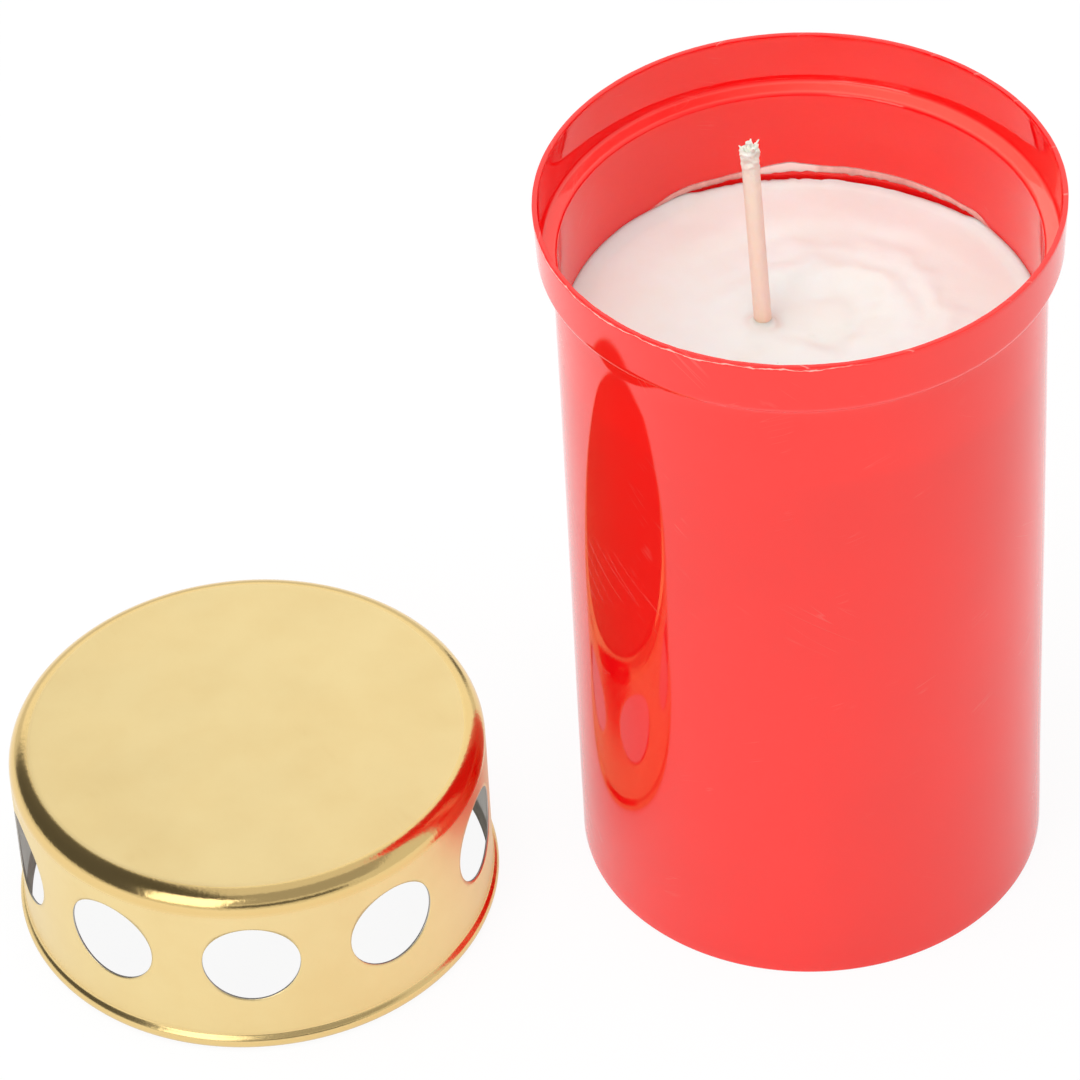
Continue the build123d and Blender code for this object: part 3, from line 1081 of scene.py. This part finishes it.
inside = {  # the hidden pieces: material, colour, roughness, metal or not, and grain scale
    "wick_core": ("corePaper", (0.80, 0.77, 0.70), 0.85, 0.0, 1800.0),
    "wick_sustainer": ("tinnedSheet", (0.68, 0.68, 0.67), 0.32, 1.0, 900.0),
    "glue_dot": ("hotGlue", (0.86, 0.80, 0.62), 0.30, 0.0, 500.0),
}


def makeInside():
    for node, (name, colour, roughness, metallic, scale) in inside.items():
        material, nodes, shader = newMaterial(name)
        place = nodes.place(wickFoot)
        speck = nodes.ramp(nodes.noise(place, scale, 4.0, 0.6), 0.3, 0.75)
        gloss = {"Roughness": roughness, "Spread": 0.15, "Scale": scale / 3, "Speck Scale": scale * 2}
        grain = {"Scale": scale * 2, "Depth": 0.02 * mm, "Wave Scale": scale / 4,
                 "Wave Depth": 0.04 * mm}
        nodes.fillAll(shader, {
            "Base Color": nodes.mix(speck, colour, tuple(c * 0.8 for c in colour)),
            "Roughness": nodes.group(handledGloss, Place=place, **gloss)["Roughness"],
            "Normal": nodes.group(fineGrain, Place=place, **grain)["Normal"],
            "Metallic": metallic})
        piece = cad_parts[node]
        piece.data.materials.clear()
        piece.data.materials.append(material)


makeInside()


stage = {
    "floorSize": 8.0,
    "floor": (0.93, 0.93, 0.93),
    "shadowKept": 0.08,  # share of the floor's own shading that the camera sees
    "mirrored": 0.5,  # and that a gloss shows
    "fill": 0.95,  # of the world on dull surfaces
    "middle": (-40 * mm, 0, 30 * mm),  # what the cards face
}
lamps = {
    "overhead": {"place": (-0.14, -0.10, 1.05), "aim": (0.0, 0.0, 0.06), "size": 0.6, "power": 4.4},
    "leftKey": {"place": (-0.7, -0.8, 0.75), "aim": (0.0, 0.0, 0.06), "size": 0.5, "power": 2.8},
}
cards = {  # cards that shape the reflections, aimed by degrees; the camera doesn't see them
    "leftCard": {"turn": 176.0, "tilt": 42.0, "away": 0.6, "width": 1.15, "height": 0.82, "glow": 0.11},
    "frontCard": {"turn": 285.0, "tilt": 52.0, "away": 0.9, "width": 1.1, "height": 0.8, "glow": 0.45},
    "lowCard": {"turn": 276.0, "tilt": 14.0, "away": 0.95, "width": 0.9, "height": 0.22, "glow": 0.12},
    "rightCard": {"turn": 60.0, "tilt": 6.0, "away": 0.7, "width": 0.10, "height": 0.2, "glow": 0.15},
    "softbox": {"turn": 232.0, "tilt": 30.0, "away": 0.58, "width": 0.30, "height": 0.4, "glow": 2.2},
    "backCard": {"turn": 82.0, "tilt": 42.0, "away": 1.1, "width": 1.7, "height": 0.9, "glow": 1.11},
}


# A material with no nodes yet.
def newSurface(name):
    material = bpy.data.materials.new(name)
    material.use_nodes = True
    material.node_tree.nodes.clear()
    return material, Nodes(material.node_tree)


def makeFloor():
    bm = bmesh.new()
    bmesh.ops.create_grid(bm, x_segments=1, y_segments=1, size=stage["floorSize"] / 2)
    material, nodes = newSurface("paleFloor")
    floor = makeObject("floor", bm, [material])
    dull = nodes.add("BsdfDiffuse")
    dull.inputs["Color"].default_value = (*stage["floor"], 1)
    white = nodes.add("Emission")
    path = nodes.add("LightPath").outputs
    mixed = nodes.add("MixShader")
    seen = nodes.times(path["Is Camera Ray"], 1 - stage["shadowKept"])
    shiny = nodes.times(path["Is Glossy Ray"], 1 - stage["mirrored"])
    nodes.join(nodes.math("MAXIMUM", seen, shiny), mixed.inputs[0])
    nodes.join(dull.outputs[0], mixed.inputs[1])
    nodes.join(white.outputs[0], mixed.inputs[2])
    output = nodes.add("OutputMaterial")
    nodes.join(mixed.outputs[0], output.inputs["Surface"])


def makeWorld():
    world = bpy.data.worlds.new("studio")
    bpy.context.scene.world = world
    world.use_nodes = True
    world.cycles.sampling_method = "NONE"
    nodes = Nodes(world.node_tree)
    world.node_tree.nodes.clear()
    path = nodes.add("LightPath").outputs
    shown = nodes.math("MAXIMUM", path["Is Camera Ray"],
                       nodes.math("MAXIMUM", path["Is Glossy Ray"], path["Is Transmission Ray"]))
    light = nodes.add("Background")
    nodes.join(nodes.ramp(shown, 0.0, 1.0, stage["fill"], 1.0), light.inputs["Strength"])
    nodes.join(light.outputs[0], nodes.add("OutputWorld").inputs["Surface"])


def makeLamps():
    for name, lamp in lamps.items():
        data = bpy.data.lights.new(name, "AREA")
        data.shape = "DISK"
        data.size = lamp["size"]
        data.energy = lamp["power"]
        made = bpy.data.objects.new(name, data)
        bpy.context.scene.collection.objects.link(made)
        place = Vector(lamp["place"])
        made.location = place
        made.rotation_euler = (Vector(lamp["aim"]) - place).to_track_quat("-Z", "Y").to_euler()
        made.visible_glossy = False


def makeCards():
    for name, card in cards.items():
        bm = bmesh.new()
        bmesh.ops.create_grid(bm, x_segments=1, y_segments=1, size=0.5)
        turn, tilt = math.radians(card["turn"]), math.radians(card["tilt"])
        way = Vector((math.cos(turn) * math.cos(tilt), math.sin(turn) * math.cos(tilt), math.sin(tilt)))
        bmesh.ops.scale(bm, vec=(card["width"], card["height"], 1), verts=bm.verts)
        bmesh.ops.transform(bm, matrix=way.to_track_quat("Z", "Y").to_matrix(), verts=bm.verts)
        bmesh.ops.translate(bm, vec=Vector(stage["middle"]) + way * card["away"], verts=bm.verts)
        material, nodes = newSurface(name)
        made = makeObject(name, bm, [material])
        glow = nodes.add("Emission")
        glow.inputs["Strength"].default_value = card["glow"]
        nodes.join(glow.outputs[0], nodes.add("OutputMaterial").inputs["Surface"])
        made.visible_camera = False
        made.visible_diffuse = False
        made.visible_shadow = False


makeFloor()
makeWorld()
makeLamps()
makeCards()
bpy.context.scene.view_settings.view_transform = "Standard"
print("stage set")
